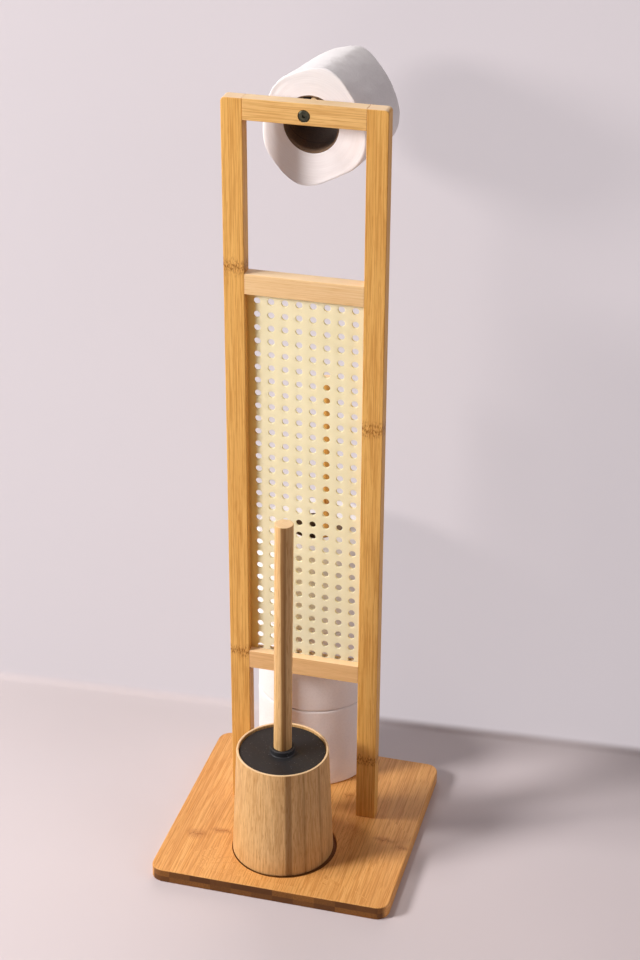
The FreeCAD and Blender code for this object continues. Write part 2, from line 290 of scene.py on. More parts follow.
def bamboo(name, look):
    # lacquered bamboo: long fibres, strips of different tone, wavy dark rings at the stalk's joints, and end
    # grain with pores; where asked, painted shade in dark strips and on a recess floor, and painted light on
    # faces that look up
    grain = grainLook
    material, tree, shader = newMaterial(name)
    spot, normal = spotInMm(tree)
    axes = split(tree, spot)
    if "middle" in look:  # turned from a round: the grain is counted round the axis
        offX = maths(tree, "SUBTRACT", axes[0], look["middle"][0])
        offY = maths(tree, "SUBTRACT", look["middle"][1], axes[1])
        across = maths(tree, "MULTIPLY", maths(tree, "ARCTAN2", offX, offY), look["radius"])
        depth = vectors(tree, "LENGTH", joined(tree, offX, offY), out="Value")
        along = axes[2]
    else:
        across, depth, along = [axes["XYZ".index(letter)] for letter in look["order"]]
    axis = [1.0 if letter == look["order"][2] else 0.0 for letter in "XYZ"]

    # strips side by side and in layers, each with a number of its own
    strip = maths(tree, "SUBTRACT", across, look["stripStart"])
    strip = maths(tree, "FLOOR", maths(tree, "DIVIDE", strip, look["stripWidth"]))
    layer = maths(tree, "FLOOR", maths(tree, "DIVIDE", depth, look["layerWidth"]))
    number = maths(tree, "MULTIPLY_ADD", layer, grain["layerNumber"], strip)
    chance = addNode(tree, "ShaderNodeTexWhiteNoise", {"W": number}, "Value", noise_dimensions="1D")
    shifted = maths(tree, "MULTIPLY_ADD", chance, grain["stripShift"], along)
    fibres = joined(tree, across, depth, shifted)

    # fibres, streaks, short dark dashes, slow changes of tone, and what a joint of the stalk is drawn with
    patterns = {}
    for key, (scale, detail) in grain["noises"].items():
        patterns[key] = grainy(tree, vectors(tree, "MULTIPLY", fibres, scale), 1.0, detail)
    ink = {}
    for key, span in grain["inkSpans"].items():
        ink[key] = spread(tree, patterns[key], *span, 0.0, look[key + "Share"])
    fibre = spread(tree, patterns["fibre"], *grain["fibreSpan"])
    stripInk = maths(tree, "MULTIPLY", chance, look["stripShare"])

    # the stalk's joints: a wavy line with short dark dashes on both sides of it
    level = maths(tree, "MULTIPLY_ADD", patterns["wave"], grain["waveHeight"], along)
    level = maths(tree, "SUBTRACT", level, grain["waveHeight"] / 2)
    point = joined(tree, across, level)
    ring, line = 0.0, 0.0
    for centre, halfWidth, height, halfHeight in look["joints"]:
        off = vectors(tree, "SUBTRACT", point, (centre, height, 0))
        near = []
        for half in (halfHeight, look["lineHalf"]):
            far = vectors(tree, "MULTIPLY", off, (1 / halfWidth, 1 / half, 1))
            far = vectors(tree, "LENGTH", far, out="Value")
            near.append(spread(tree, far, *grain["ringSpan"], 1.0, 0.0, "SMOOTHSTEP"))
        ring = maths(tree, "MAXIMUM", ring, near[0])
        line = maths(tree, "MAXIMUM", line, near[1])
    curl = spread(tree, patterns["curl"], *grain["curlSpan"], look["ringGround"], look["ringShare"])
    ringInk = maths(tree, "MULTIPLY", ring, curl)
    ringInk = maths(tree, "MULTIPLY_ADD", line, look["lineShare"], ringInk)

    light, middle, dark, ringTone = [linear(look[key]) for key in ("light", "middleTone", "dark", "ring")]
    face = blend(tree, fibre, middle, light)
    for share in (ink["slow"], ink["streak"], stripInk, ink["dash"]):
        face = blend(tree, share, face, dark)
    face = blend(tree, ringInk, face, ringTone)
    for centre, half, share in look.get("darkStripsAndShade", ()):  # dark strips that run the whole way: darker strips of the wood, and painted shade down the side turned from the light
        off = maths(tree, "ABSOLUTE", maths(tree, "SUBTRACT", across, centre))
        stripAndShade = spread(tree, off, grain["stripAndShadeCore"] * half, half, share, 0.0, "SMOOTHSTEP")
        face = blend(tree, stripAndShade, face, ringTone)

    # end grain where the face looks along the fibres
    facing = maths(tree, "ABSOLUTE", vectors(tree, "DOT_PRODUCT", normal, axis, out="Value"))
    isEnd = spread(tree, facing, *grain["endSpan"])
    other = maths(tree, "ADD", number, grain["endNumber"])
    endTone = addNode(tree, "ShaderNodeTexWhiteNoise", {"W": other}, "Value", noise_dimensions="1D")
    pores = grainy(tree, spot, grain["poreScale"], grain["poreDetail"])
    pores = spread(tree, pores, *grain["poreSpan"], 0.0, grain["poreShare"])
    endDark, endLight = linear(look["endDark"]), linear(look["endLight"])
    end = blend(tree, pores, blend(tree, endTone, endDark, endLight), endDark)
    colour = blend(tree, isEnd, face, end)
    up = split(tree, normal)[2]
    if "paintedShadeUnder" in look:  # painted shade: faces that look up below this height, the floor of the cup's recess, are darkened
        under = maths(tree, "LESS_THAN", axes[2], look["paintedShadeUnder"])
        recessShade = maths(tree, "MULTIPLY", maths(tree, "GREATER_THAN", up, grain["levelUp"]), under)
        colour = blend(tree, recessShade, colour, linear(look["paintedShadeTone"]))
    # painted light: faces that look up are made lighter
    topLightMask = spread(tree, up, *grain["paintedTopLightSpan"], 0.0, look["paintedTopLightShare"])
    colour = blend(tree, topLightMask, colour, linear(look["paintedTopLight"]))

    relief = maths(tree, "MULTIPLY_ADD", ring, grain["ringRelief"], patterns["fibre"])
    gloss = spread(tree, patterns["fibre"], *grain["fibreSpan"], *grain["roughness"])
    dress(tree, shader, colour, relief, grain,
          {"Roughness": gloss, "IOR": grain["ior"], "Specular IOR Level": look["shine"]})
    return material


# joints of the stalk: middle across, half width, place along the fibres, half height
barLook = {
    "order": "XYZ", "light": "EDBA6A", "middleTone": "E3AA58", "dark": "B97A2E", "ring": "8F5416",
    # the pale top tone is painted light on faces that look up
    "paintedTopLight": "F8DDB4", "paintedTopLightShare": 0.6, "endLight": "E6B47C", "endDark": "D49E62",
    "stripStart": -75.0, "stripWidth": 9.8, "layerWidth": 7.25,
    "joints": (), "lineHalf": 1.6, "lineShare": 0.3, "ringGround": 0.06, "ringShare": 0.85,
    "streakShare": 0.55, "dashShare": 0.4, "slowShare": 0.25, "stripShare": 0.12, "shine": 0.3,
}
leftJoints = ((-postX, 60.0, 600.0, 11.0), (-postX, 60.0, 192.5, 9.0))
rightJoints = ((postX, 60.0, 454.0, 12.0), (postX, 60.0, 84.0, 9.0))
uprightLeft = bamboo("bambooLeftPost", {**barLook, "joints": leftJoints})
uprightRight = bamboo("bambooRightPost", {**barLook, "stripStart": 55.4, "joints": rightJoints})
railLook = {**barLook, "order": "ZYX"}
railTop = bamboo("bambooTopRail", {  # a little paler than the posts
    **railLook, "light": "F1C480", "middleTone": "E8B76E", "dark": "C08640", "stripStart": 737.2})
railUpper = bamboo("bambooUpperRail", {  # the palest bar
    **railLook, "light": "F3CF9C", "middleTone": "EBC18A", "dark": "D4A265", "stripStart": 574.8,
    "streakShare": 0.3, "slowShare": 0.15})
railLower = bamboo("bambooLowerRail", {
    **railLook, "light": "EEC18A", "middleTone": "E5B47B", "dark": "CE9A5B", "stripStart": 174.6,
    "streakShare": 0.35})
boardBamboo = bamboo("bambooBoard", {  # wide strips, dark end grain along the front edge
    **barLook, "order": "XZY", "light": "EFB56F", "middleTone": "E6A65C", "dark": "BC7630", "ring": "A5602A",
    "endLight": "8E5A24", "endDark": "55300E", "stripStart": -120.0, "stripWidth": 21.0, "layerWidth": 7.0,
    "joints": ((-92.0, 15.0, -56.0, 11.0), (-68.0, 16.0, -46.0, 6.0), (93.0, 16.0, -17.0, 6.0),
               (113.0, 9.0, -26.0, 6.0), (41.0, 9.0, 46.0, 6.0)),
    "dashShare": 0.55, "stripShare": 0.22, "ringGround": 0.3, "ringShare": 0.65, "paintedTopLightShare": 0.0,
    # painted shade: the floor of the cup's recess is darkened
    "paintedShadeUnder": 13.0, "paintedShadeTone": "7C4C20",
})
roundLook = {**barLook, "stripWidth": 40.0, "layerWidth": 40.0}  # a dowel is cut from one strip
dowelTones = {"light": "DDA85C", "middleTone": "D09849", "dark": "A36C28"}
dowelBamboo = bamboo("bambooDowel", {**roundLook, **dowelTones, "joints": ((0.0, 60.0, 330.0, 10.0),)})
armBamboo = bamboo("bambooArm", {**roundLook, "order": "XZY"})
crossBamboo = bamboo("bambooJoiningDowel", {**roundLook, "order": "ZYX"})
cupTones = {  # pale; dark strips as (middle, half width, share): those at 18.5 and 50.0 are painted shade down the side turned from the light, the narrow ones at 34.5 and 54.0 darker strips of wood; the rim's top gets painted light
    "light": "E8BE86", "middleTone": "DBAC70", "dark": "AA763A", "ring": "74481A", "paintedTopLightShare": 0.3,
    "endLight": "EDCBA0", "endDark": "DDB584", "dashShare": 0.6, "streakShare": 0.4, "stripShare": 0.1,
    "middle": cupMiddle, "radius": 47.0, "stripWidth": 16.0, "layerWidth": 200.0,
    "darkStripsAndShade": ((18.5, 4.4, 0.7), (34.5, 1.8, 0.3), (54.0, 2.2, 0.35), (50.0, 40.0, 0.22)),
}
cupBamboo = bamboo("bambooCup", {**barLook, **cupTones})
# both dark strips on the handle are painted shade down the side turned from the light
handleTones = {"light": "F0C88E", "middleTone": "E3B67A", "radius": 8.8, "stripWidth": 12.0,
               "darkStripsAndShade": ((3.6, 3.2, 0.8), (9.0, 6.0, 0.3))}
handleBamboo = bamboo("bambooHandle", {**barLook, **cupTones, **handleTones})
print("bamboo ready")

tissueLook = {
    "white": "EEE8E7", "shade": "E0D8D7", "edge": "D6CCCA", "dimpleScale": 0.34, "dimpleChance": 0.9,
    "dimpleSpan": (0.1, 0.55), "dimpleShade": 0.16, "creaseScale": 0.12, "creaseDetail": 3.0,
    "creaseRelief": 3.0, "layerScale": (1.1, 0.5, 0.0), "layerDetail": 4.0, "layerRoughness": 0.7,
    "layerSpan": (0.35, 0.7), "endSpan": (0.6, 0.85), "roughness": 0.95, "ior": 1.4, "sheen": 0.08,
    "relief": 0.25, "reliefDepth": 0.35,
}


def tissue(name, look):
    # soft white paper: pressed dimples round the roll, fine wound layers on its ends
    material, tree, shader = newMaterial(name)
    spot, normal = spotInMm(tree, look)
    axes = split(tree, spot)
    turn = maths(tree, "ARCTAN2", axes[1], axes[0])
    around = maths(tree, "MULTIPLY", turn, look["outer"])
    out = vectors(tree, "LENGTH", joined(tree, axes[0], axes[1]), out="Value")

    # dimples about 3 mm apart, and soft creases
    cells = {"Vector": joined(tree, around, axes[2]), "Scale": look["dimpleScale"],
             "Randomness": look["dimpleChance"]}
    dimple = addNode(tree, "ShaderNodeTexVoronoi", cells, voronoi_dimensions="2D")
    dimple = spread(tree, dimple, *look["dimpleSpan"], kind="SMOOTHSTEP")
    crease = grainy(tree, spot, look["creaseScale"], look["creaseDetail"])

    # wound layers on the ends
    layers = vectors(tree, "MULTIPLY", joined(tree, out, turn), look["layerScale"])
    layers = grainy(tree, layers, 1.0, look["layerDetail"], look["layerRoughness"])
    tip, _, swing = [math.radians(t) for t in look["turns"]]
    axis = Matrix.Rotation(swing, 3, "Z") @ Matrix.Rotation(tip, 3, "X") @ Vector((0, 0, 1))
    facing = maths(tree, "ABSOLUTE", vectors(tree, "DOT_PRODUCT", normal, axis, out="Value"))
    isEnd = spread(tree, facing, *look["endSpan"])

    white, shade, edge = [linear(look[key]) for key in ("white", "shade", "edge")]
    low = maths(tree, "MULTIPLY", maths(tree, "SUBTRACT", 1.0, dimple), look["dimpleShade"])
    side = blend(tree, low, white, shade)
    end = blend(tree, spread(tree, layers, *look["layerSpan"], 0.0, look["layerShare"]), white, edge)
    sideRelief = maths(tree, "MULTIPLY_ADD", crease, look["creaseRelief"], dimple)
    relief = addNode(tree, "ShaderNodeMix", {0: isEnd, 2: sideRelief, 3: layers}, data_type="FLOAT")
    dress(tree, shader, blend(tree, isEnd, side, end), relief, look,
          {"Roughness": look["roughness"], "IOR": look["ior"], "Sheen Weight": look["sheen"]})
    return material


coreLook = {
    "coreBore": 25.0, "coreOuter": 26.2, "coreRound": 0.3, "seamPitch": 78.0, "seamSpan": (0.2, 0.7),
    "seamTone": "3E2C1E", "boardDark": "5A432F", "boardLight": "745A43", "speckScale": 0.9,
    "speckDetail": 3.0, "speckRoughness": 0.7, "speckSpan": (0.35, 0.65), "roughness": 0.9,
    "relief": 0.4, "reliefDepth": 0.15,
}


def coreBoard(name, look):
    # grey-brown tube board: long specks of fibre and the spiral seam of its winding
    material, tree, shader = newMaterial(name)
    spot, _ = spotInMm(tree, look)
    axes = split(tree, spot)
    turn = maths(tree, "ARCTAN2", axes[1], axes[0])
    pitch = look["seamPitch"]  # mm of tube for one turn of the seam
    lay = maths(tree, "MULTIPLY_ADD", turn, pitch / math.tau, axes[2])
    lay = maths(tree, "ABSOLUTE", maths(tree, "WRAP", lay, pitch / 2, -pitch / 2))
    seam = spread(tree, lay, *look["seamSpan"], 1.0, 0.0)
    speck = grainy(tree, spot, look["speckScale"], look["speckDetail"], look["speckRoughness"])
    fleck = spread(tree, speck, *look["speckSpan"])
    colour = blend(tree, fleck, linear(look["boardDark"]), linear(look["boardLight"]))
    colour = blend(tree, seam, colour, linear(look["seamTone"]))
    relief = maths(tree, "SUBTRACT", speck, seam)
    dress(tree, shader, colour, relief, look, {"Roughness": look["roughness"]})
    return material


mouldedLook = {
    "dustShare": 0.3, "dustScale": 0.8, "dustSpan": (0.76, 0.82), "driftDetail": 3.0, "driftSpan": (0.3, 0.7),
    "grainSize": 0.3, "grainDetail": 2.0, "metallic": 0.0, "ior": 1.5, "relief": 0.2, "reliefDepth": 0.05,
}


def moulded(name, own):
    # moulded or coated surfaces: a slow drift of tone, a fine grain and a few specks of dust
    look = {**mouldedLook, **own}
    material, tree, shader = newMaterial(name)
    spot, _ = spotInMm(tree)
    drift = grainy(tree, spot, 1 / look["driftSize"], look["driftDetail"])
    drift = spread(tree, drift, *look["driftSpan"])
    grain = grainy(tree, spot, 1 / look["grainSize"], look["grainDetail"])
    dust = spread(tree, grainy(tree, spot, look["dustScale"], 0.0), *look["dustSpan"], 0.0, look["dustShare"])
    colour = blend(tree, drift, linear(look["colour"]), linear(look["second"]))
    colour = blend(tree, dust, colour, linear(look["dust"]))
    if "paintedShadeAmber" in look:  # painted shade: a deep yellow tint along the sheet's left edge, where the left post's shadow falls
        side = split(tree, spot)[0]
        postShadowMask = spread(tree, side, *look["paintedShadeSpan"], 0.0, look["paintedShadeShare"], "SMOOTHSTEP")
        colour = blend(tree, postShadowMask, colour, linear(look["paintedShadeAmber"]))
    rough = spread(tree, drift, 0.0, 1.0, *look["roughness"])
    dress(tree, shader, colour, grain, look,
          {"Roughness": rough, "Metallic": look["metallic"], "IOR": look["ior"]})
    if "through" in look:  # a thin sheet that lets some light through
        glow = addNode(tree, "ShaderNodeBsdfTranslucent", {"Color": linear(look["through"])})
        mixed = mixShaders(tree, look["throughShare"], shader.outputs[0], glow)
        fill(tree, tree.nodes["Material Output"], {"Surface": mixed})
    return material


canePlastic = moulded("creamPolypropylene", {  # smooth, slightly waxy sheet
    "colour": "F9F5DF", "second": "F5F0D7", "dust": "DCCBA4", "driftSize": 25.0, "grainSize": 0.9,
    "roughness": (0.4, 0.5), "relief": 0.25, "ior": 1.49, "through": "FFF2B0", "throughShare": 0.34,
    # the deep yellow tint at the left edge is painted shade from the left post
    "paintedShadeAmber": "DA9A24", "paintedShadeSpan": (-46.0, -49.0), "paintedShadeShare": 0.9})
blackPlastic = moulded("blackAbsPlastic", {  # dull sheen, fine mould grain, specks of dust
    "colour": "121113", "second": "171618", "dust": "8C8688", "dustShare": 0.6, "driftSize": 18.0,
    "grainSize": 0.35, "roughness": (0.48, 0.58), "relief": 0.3})
blackSteel = moulded("blackOxideSteel", {  # near-black metal with a soft shine
    "colour": "44443A", "second": "5A5846", "dust": "6E6A55", "driftSize": 2.5, "grainSize": 0.25,
    "roughness": (0.26, 0.36), "metallic": 1.0})
zincSteel = moulded("zincPlatedSteel", {  # bright grey metal
    "colour": "C3C6C9", "second": "AEB2B6", "dust": "8F9296", "driftSize": 4.0,
    "roughness": (0.28, 0.4), "metallic": 1.0})
brassInsert = moulded("plainBrass", {  # warm yellow metal
    "colour": "D9B15C", "second": "C79D4A", "dust": "9A7835", "driftSize": 3.0,
    "roughness": (0.3, 0.45), "metallic": 1.0})
bristleNylon = moulded("whiteBristle", {  # milky hairs
    "colour": "F1F0EC", "second": "E4E3DE", "dust": "D2D0CA", "driftSize": 6.0,
    "roughness": (0.4, 0.55), "ior": 1.53})
print("plastics and metals ready")

boltSeat = {"boltHole": 5.6, "headHole": 11.2, "headDepth": 3.4}
boardLook = {**boltSeat, "cornerRound": 13.0, "edgeRound": 1.2, "recessMiddle": (-1.6, -50.0),
             "recessRadius": 52.1, "recessDepth": 2.0, "lipRound": 0.6, "smooth": 30,
             "boltPlaces": ((-postX, 21.25), (postX, 21.25), (0.0, 100.0))}


def makeBoard(look):
    low, high = inMm("base_board")
    piece = block(low, high)
    goTo("EDIT")
    roundEdges(piece, "EDGE", lambda e: abs(e.verts[0].co.z - e.verts[1].co.z) > mm, look["cornerRound"], 12)
    roundEdges(piece, "FACE", lambda f: abs(f.normal.z) > 0.9, look["edgeRound"], 4)
    goTo("OBJECT")
    top, radius, lip = high[2], look["recessRadius"], look["lipRound"]
    profile = [(radius, top - look["recessDepth"]), (radius, top - lip)]
    profile += arc(radius + lip, top - lip, lip, 180, 90, 3) + [(radius + lip, top + 2 * over)]
    cutAway(piece, turned(profile, look["recessMiddle"], 128))
    for place in look["boltPlaces"]:
        cutAway(piece, hole(look["headHole"], -over, look["headDepth"], place, 32))
        cutAway(piece, hole(look["boltHole"], -over, top + over, place, 24))
    hand(piece, "baseBoard", "stand", ["base_board"], boardBamboo, look["smooth"])


makeBoard(boardLook)
print("board done")

barShape = {**boltSeat, "boltLevel": 745.5, "edgeRound": 0.8, "edgeAngle": 40, "shoulderRound": 4.0,
            "grooveDepth": 8.5, "grooveFront": 22.05, "grooveBack": 24.75, "windowLow": (-55.4, 194.2),
            "windowHigh": (55.4, 574.8), "smooth": 30}


def makeBar(node, name, material, look, shoulder=0):
    low, high = inMm(node)
    piece = block(low, high)
    goTo("EDIT")
    if shoulder:  # the outer top corner of a post is rounded more
        corner = Vector((high[0] if shoulder > 0 else low[0], 0, high[2])) * mm
        roundEdges(piece, "EDGE", lambda e: all((v.co - corner).xz.length < touch for v in e.verts),
                   look["shoulderRound"], 8)
    else:  # a rail keeps sharp ends against the posts
        roundEdges(piece, "EDGE", lambda e: abs(e.verts[0].co.x - e.verts[1].co.x) > mm, look["edgeRound"], 3)
    goTo("OBJECT")
    if shoulder:
        softenEdges(piece, look["edgeRound"], 3, look["edgeAngle"])
    if node != "top_rail":
        reach = look["grooveDepth"]
        grooveLow = (look["windowLow"][0] - reach, look["grooveFront"], look["windowLow"][1] - reach)
        grooveHigh = (look["windowHigh"][0] + reach, look["grooveBack"], look["windowHigh"][1] + reach)
        cutAway(piece, block(grooveLow, grooveHigh))
    else:
        for width, end in ((look["headHole"], low[1] + look["headDepth"]),
                           (look["boltHole"], high[1] + over)):
            cutter = hole(width, low[1] - over, end)
            setDown(cutter, (0, 0, look["boltLevel"]), (-90, 0, 0))
            cutAway(piece, cutter)
    hand(piece, name, "stand", [node], material, look["smooth"])


makeBar("left_post", "leftPost", uprightLeft, barShape, -1)
makeBar("right_post", "rightPost", uprightRight, barShape, 1)
makeBar("top_rail", "topRail", railTop, barShape)
makeBar("upper_rail", "upperRail", railUpper, barShape)
makeBar("lower_rail", "lowerRail", railLower, barShape)
print("frame bars done")

panelLook = {"pitch": 13.2, "hole": 6.4, "columns": 8, "rows": 29, "topRow": 566.3, "sides": 16,
             "rimRound": 0.4, "rimAngle": 50}


def makePanel(look):
    low, high = inMm("perforated_panel")
    pitch, half = look["pitch"] * mm, look["pitch"] / 2 * mm
    firstX, topRow = -(look["columns"] - 1) * half, look["topRow"] * mm
    thickness = high[1] - low[1]
    # one hole with its square of sheet
    restMode()
    bpy.ops.mesh.primitive_circle_add(vertices=look["sides"], radius=look["hole"] / 2 * mm,
                                      rotation=(math.pi / 2, 0, 0), location=(firstX, low[1] * mm, topRow))
    piece = settle()
    goTo("EDIT")
    bpy.ops.mesh.select_all(action="SELECT")
    bpy.ops.mesh.extrude_region_move()
    shape = bmesh.from_edit_mesh(piece.data)
    for v in shape.verts:  # the outer ring goes out to the square
        if v.select:
            x, z = v.co.x - firstX, v.co.z - topRow
            reach = half / max(abs(x), abs(z))
            v.co.x, v.co.z = firstX + x * reach, topRow + z * reach
    bmesh.update_edit_mesh(piece.data)
    goTo("OBJECT")
    for count, step in ((look["columns"], (pitch, 0, 0)), (look["rows"], (0, 0, -pitch))):
        useModifier(piece, "ARRAY", count=count, use_relative_offset=False, use_constant_offset=True,
                    constant_offset_displace=step, use_merge_vertices=True, merge_threshold=touch)
    # plain margins out to the sheet's own edges
    goTo("EDIT")
    for axis, side in ((0, 0), (0, 1), (2, 0), (2, 1)):
        coords = [v.co[axis] for v in bmesh.from_edit_mesh(piece.data).verts]
        edge = max(coords) if side else min(coords)
        pick(piece, "EDGE", lambda e: all(abs(v.co[axis] - edge) < touch for v in e.verts))
        shift = [0, 0, 0]
        shift[axis] = (high if side else low)[axis] * mm - edge
        bpy.ops.mesh.extrude_region_move(TRANSFORM_OT_translate={"value": shift})
    bpy.ops.mesh.select_all(action="SELECT")
    bpy.ops.mesh.normals_make_consistent(inside=False)
    goTo("OBJECT")
    useModifier(piece, "SOLIDIFY", thickness=thickness * mm, offset=0.0)
    setDown(piece, (0, thickness / 2, 0))
    softenEdges(piece, look["rimRound"], 1, look["rimAngle"])
    hand(piece, "perforatedPanel", "stand", ["perforated_panel"], canePlastic,
         look["rimAngle"])


makePanel(panelLook)
print("panel done")

armLook = {"endRound": 2.0, "footRound": 0.4, "sides": 48}
rodLook = {"endRound": 1.5, "footRound": 0.4, "sides": 48}
boltLook = {"socket": 3.5, "socketDepth": 2.0, "headRound": 1.2, "headWidth": 10.5, "headHeight": 3.2,
            "faceEdge": 0.6, "underEdge": 0.2, "shank": 5.0, "sides": 64, "smooth": 30}


def dowelProfile(radius, foot, top, look):
    edge, bend = look["footRound"], look["endRound"]
    return [(radius - edge, foot), (radius, foot + edge)] + arc(radius - bend, top - bend, bend, 0, 90)


def makeArm(look):
    low, high = inMm("roll_arm")
    piece = turned(dowelProfile((high[0] - low[0]) / 2, low[1], high[1], look), sides=look["sides"])
    setDown(piece, (0, 0, middleOf(low, high)[2]), (-90, 0, 0))
    hand(piece, "rollArm", "stand", ["roll_arm"], armBamboo)


def makeBolt(look):
    low, high = inMm("arm_bolt")
    radius, bend, edge, shank = look["headWidth"] / 2, look["headRound"], look["underEdge"], look["shank"] / 2
    under = low[1] + look["headHeight"]
    profile = [(radius - bend - look["faceEdge"], low[1])]
    profile += arc(radius - bend, low[1] + bend, bend, -100, 0, 6)
    profile += [(radius, under - edge), (radius - edge, under), (shank, under), (shank, high[1])]
    piece = turned(profile, sides=look["sides"])
    acrossCorners = look["socket"] / math.cos(math.pi / 6)
    cutAway(piece, hole(acrossCorners, low[1] - over, low[1] + look["socketDepth"], sides=6))
    setDown(piece, (0, 0, middleOf(low, high)[2]), (-90, 0, 0))
    hand(piece, "armBolt", "stand", ["arm_bolt"], blackSteel, look["smooth"])


def makeRod(look):
    low, high = inMm("spare_rod")
    profile = dowelProfile((high[0] - low[0]) / 2, low[2], high[2], look)
    piece = turned(profile, middleOf(low, high), look["sides"])
    hand(piece, "spareRod", "stand", ["spare_rod"], dowelBamboo)


makeArm(armLook)
makeBolt(boltLook)
makeRod(rodLook)
print("arm, bolt and rod done")


def softPolygon(turn, sides, softness):
    # a rounded outline from flats at given directions and distances
    total = sum((max(0.0, math.cos(turn - math.radians(way))) / far) ** softness for way, far in sides)
    return total ** (-1 / softness)


def ripple(turn, z, size, rounds, step, shift=0.0):
    # smooth noise that closes on itself round the roll
    return size * noise.noise(Vector((rounds * math.cos(turn), rounds * math.sin(turn), z / step + shift)))


def woundTube(look, outline):
    # a roll of paper: the tube is turned, then each point moves out to the outline of the handled roll
    bore, outer, length, bend = look["bore"], look["outer"], look["length"], look["edgeRound"]
    half, rings, steps = length / 2, look["rings"], look["endSteps"]
    rim = outer - bend
    profile = [(bore + (rim - bore) * i / steps, -half) for i in range(steps)]
    profile += arc(rim, bend - half, bend, -90, 0, 4)
    profile += [(outer, bend - half + (length - 2 * bend) * i / rings) for i in range(1, rings)]
    profile += arc(rim, half - bend, bend, 0, 90, 4)
    profile += [(bore + (rim - bore) * i / steps, half) for i in reversed(range(steps))]
    piece = turned(profile + [profile[0]], sides=look["around"], tube=True)
    for v in piece.data.vertices:
        x, y, z = v.co / mm
        radius, turn = math.hypot(x, y), math.atan2(y, x)
        share = max(0.0, (radius - bore) / (outer - bore))
        reach, drop, push = outline(turn, z, share)
        radius = bore + (radius - bore) * (reach - bore) / (outer - bore)
        v.co = Vector((radius * math.cos(turn), radius * math.sin(turn) - drop * share, z + push)) * mm
    return piece


def makeCore(name, node, body, look):
    bore, outer, half, bend = look["coreBore"], look["coreOuter"], look["length"] / 2, look["coreRound"]
    profile = [(bore, bend - half), (bore + bend, -half), (outer - bend, -half), (outer, bend - half)]
    profile += [(outer, half - bend), (outer - bend, half), (bore + bend, half), (bore, half - bend)]
    profile += [(bore, half / 2), (bore, -half / 2), profile[0]]
    piece = turned(profile, tube=True)
    setDown(piece, look["middle"], look["turns"])
    hand(piece, name, body, [node], coreBoard(name + "Board", look))


def makeRoll(kind, level, look, outline):
    # paper and core of one roll, on a body of their own
    ending, title = "_" + level if level else "", level.title()
    body = kind + "_roll" + ending
    piece = woundTube(look, outline)
    setDown(piece, look["middle"], look["turns"])
    paper = tissue("tissuePaper" + (title or kind.title()), look)
    hand(piece, kind + "RollPaper" + title, body, [kind + "_roll_paper" + ending], paper,
         look["smooth"])
    core = {**look, **coreLook, "length": rollLook["length"]}
    makeCore(kind + "RollCore" + title, kind + "_roll_core" + ending, body, core)


# swell and wrinkle: size, rounds of the noise and its step along the roll
rollLook = {**tissueLook, "bore": 26.25, "length": 92.4, "around": 160, "smooth": 60}
usedLook = {
    **rollLook, "outer": 50.0, "edgeRound": 1.5, "rings": 44, "endSteps": 12, "layerShare": 0.35,
    "flats": ((110.7, 47.7), (38.7, 48.7), (-3.8, 54.0), (-64.2, 52.1), (-138.5, 52.1), (167, 45.0)),
    "softness": 6.0, "swell": (0.7, 2.2, 26), "wrinkle": (0.35, 7, 8), "backDrop": 4.25,
    "ridge": 75.0, "ridgeWidth": 14, "dent": 1.1, "dentStep": 9, "dentTwist": 3.0, "dentSeed": 5.0,
    "endWave": 0.5, "endRings": 7, "endRounds": 1.5, "middle": (1.0, 95.2, 726.97), "turns": (90, 0, -5),
}


def usedOutline(turn, z, share):
    look = usedLook
    reach = softPolygon(turn, look["flats"], look["softness"])
    reach += ripple(turn, z, *look["swell"]) * share
    reach += ripple(turn, z, *look["wrinkle"]) * share
    # the pinched ridge is dented along its length
    nearRidge = math.exp(-((math.degrees(turn) - look["ridge"]) / look["ridgeWidth"]) ** 2)
    dent = noise.noise(Vector((z / look["dentStep"], look["dentTwist"] * turn, look["dentSeed"])))
    reach -= look["dent"] * nearRidge * abs(dent) * share
    drop = look["backDrop"] * (0.5 - z / look["length"])  # the back end hangs lower
    rounds = look["endRounds"]
    wave = Vector((look["endRings"] * share, rounds * math.cos(turn), rounds * math.sin(turn)))
    push = look["endWave"] * noise.noise(wave) * share
    return reach, drop, push if abs(z) > look["length"] / 2 - look["edgeRound"] else 0.0


makeRoll("used", "", usedLook, usedOutline)
print("used roll done")

spareLook = {
    **rollLook, "outer": 60.0, "edgeRound": 2.4, "rings": 30, "endSteps": 10, "layerShare": 0.7,
    "layerStep": 0.45, "tailStart": 200, "tailStep": 70, "swell": (0.5, 1.6, 40), "wrinkle": (0.4, 5, 14),
    "seedStep": 9, "stackGap": 0.1, "turns": (0, 0, 0),
}


def makeSpareRolls(look):
    for index, level in enumerate(("bottom", "middle", "top")):
        low, high = inMm("spare_roll_paper_" + level)
        own = {**look, "middle": middleOf(low, high), "length": high[2] - low[2] - look["stackGap"]}
        tail = math.radians(look["tailStart"] + look["tailStep"] * index)  # where the last sheet ends
        seed = look["seedStep"] * index

        def outline(turn, z, share):
            wind = ((turn - tail) % math.tau) / math.tau
            reach = look["outer"] - look["layerStep"] * wind
            for key in ("swell", "wrinkle"):
                reach -= abs(ripple(turn, z, *look[key], seed)) * share
            return reach, 0.0, 0.0

        makeRoll("spare", level, own, outline)


makeSpareRolls(spareLook)
print("spare rolls done")

cupLook = {"footRound": 3.0, "rimRound": 1.0, "rim": 45.2, "bore": 42.6, "floor": 20.0, "sides": 128}
linerLook = {"lidGap": 0.15, "wall": 1.6, "floor": 2.0, "footRound": 3.0, "rimRound": 0.7, "floorRound": 2.5,
             "sides": 128}


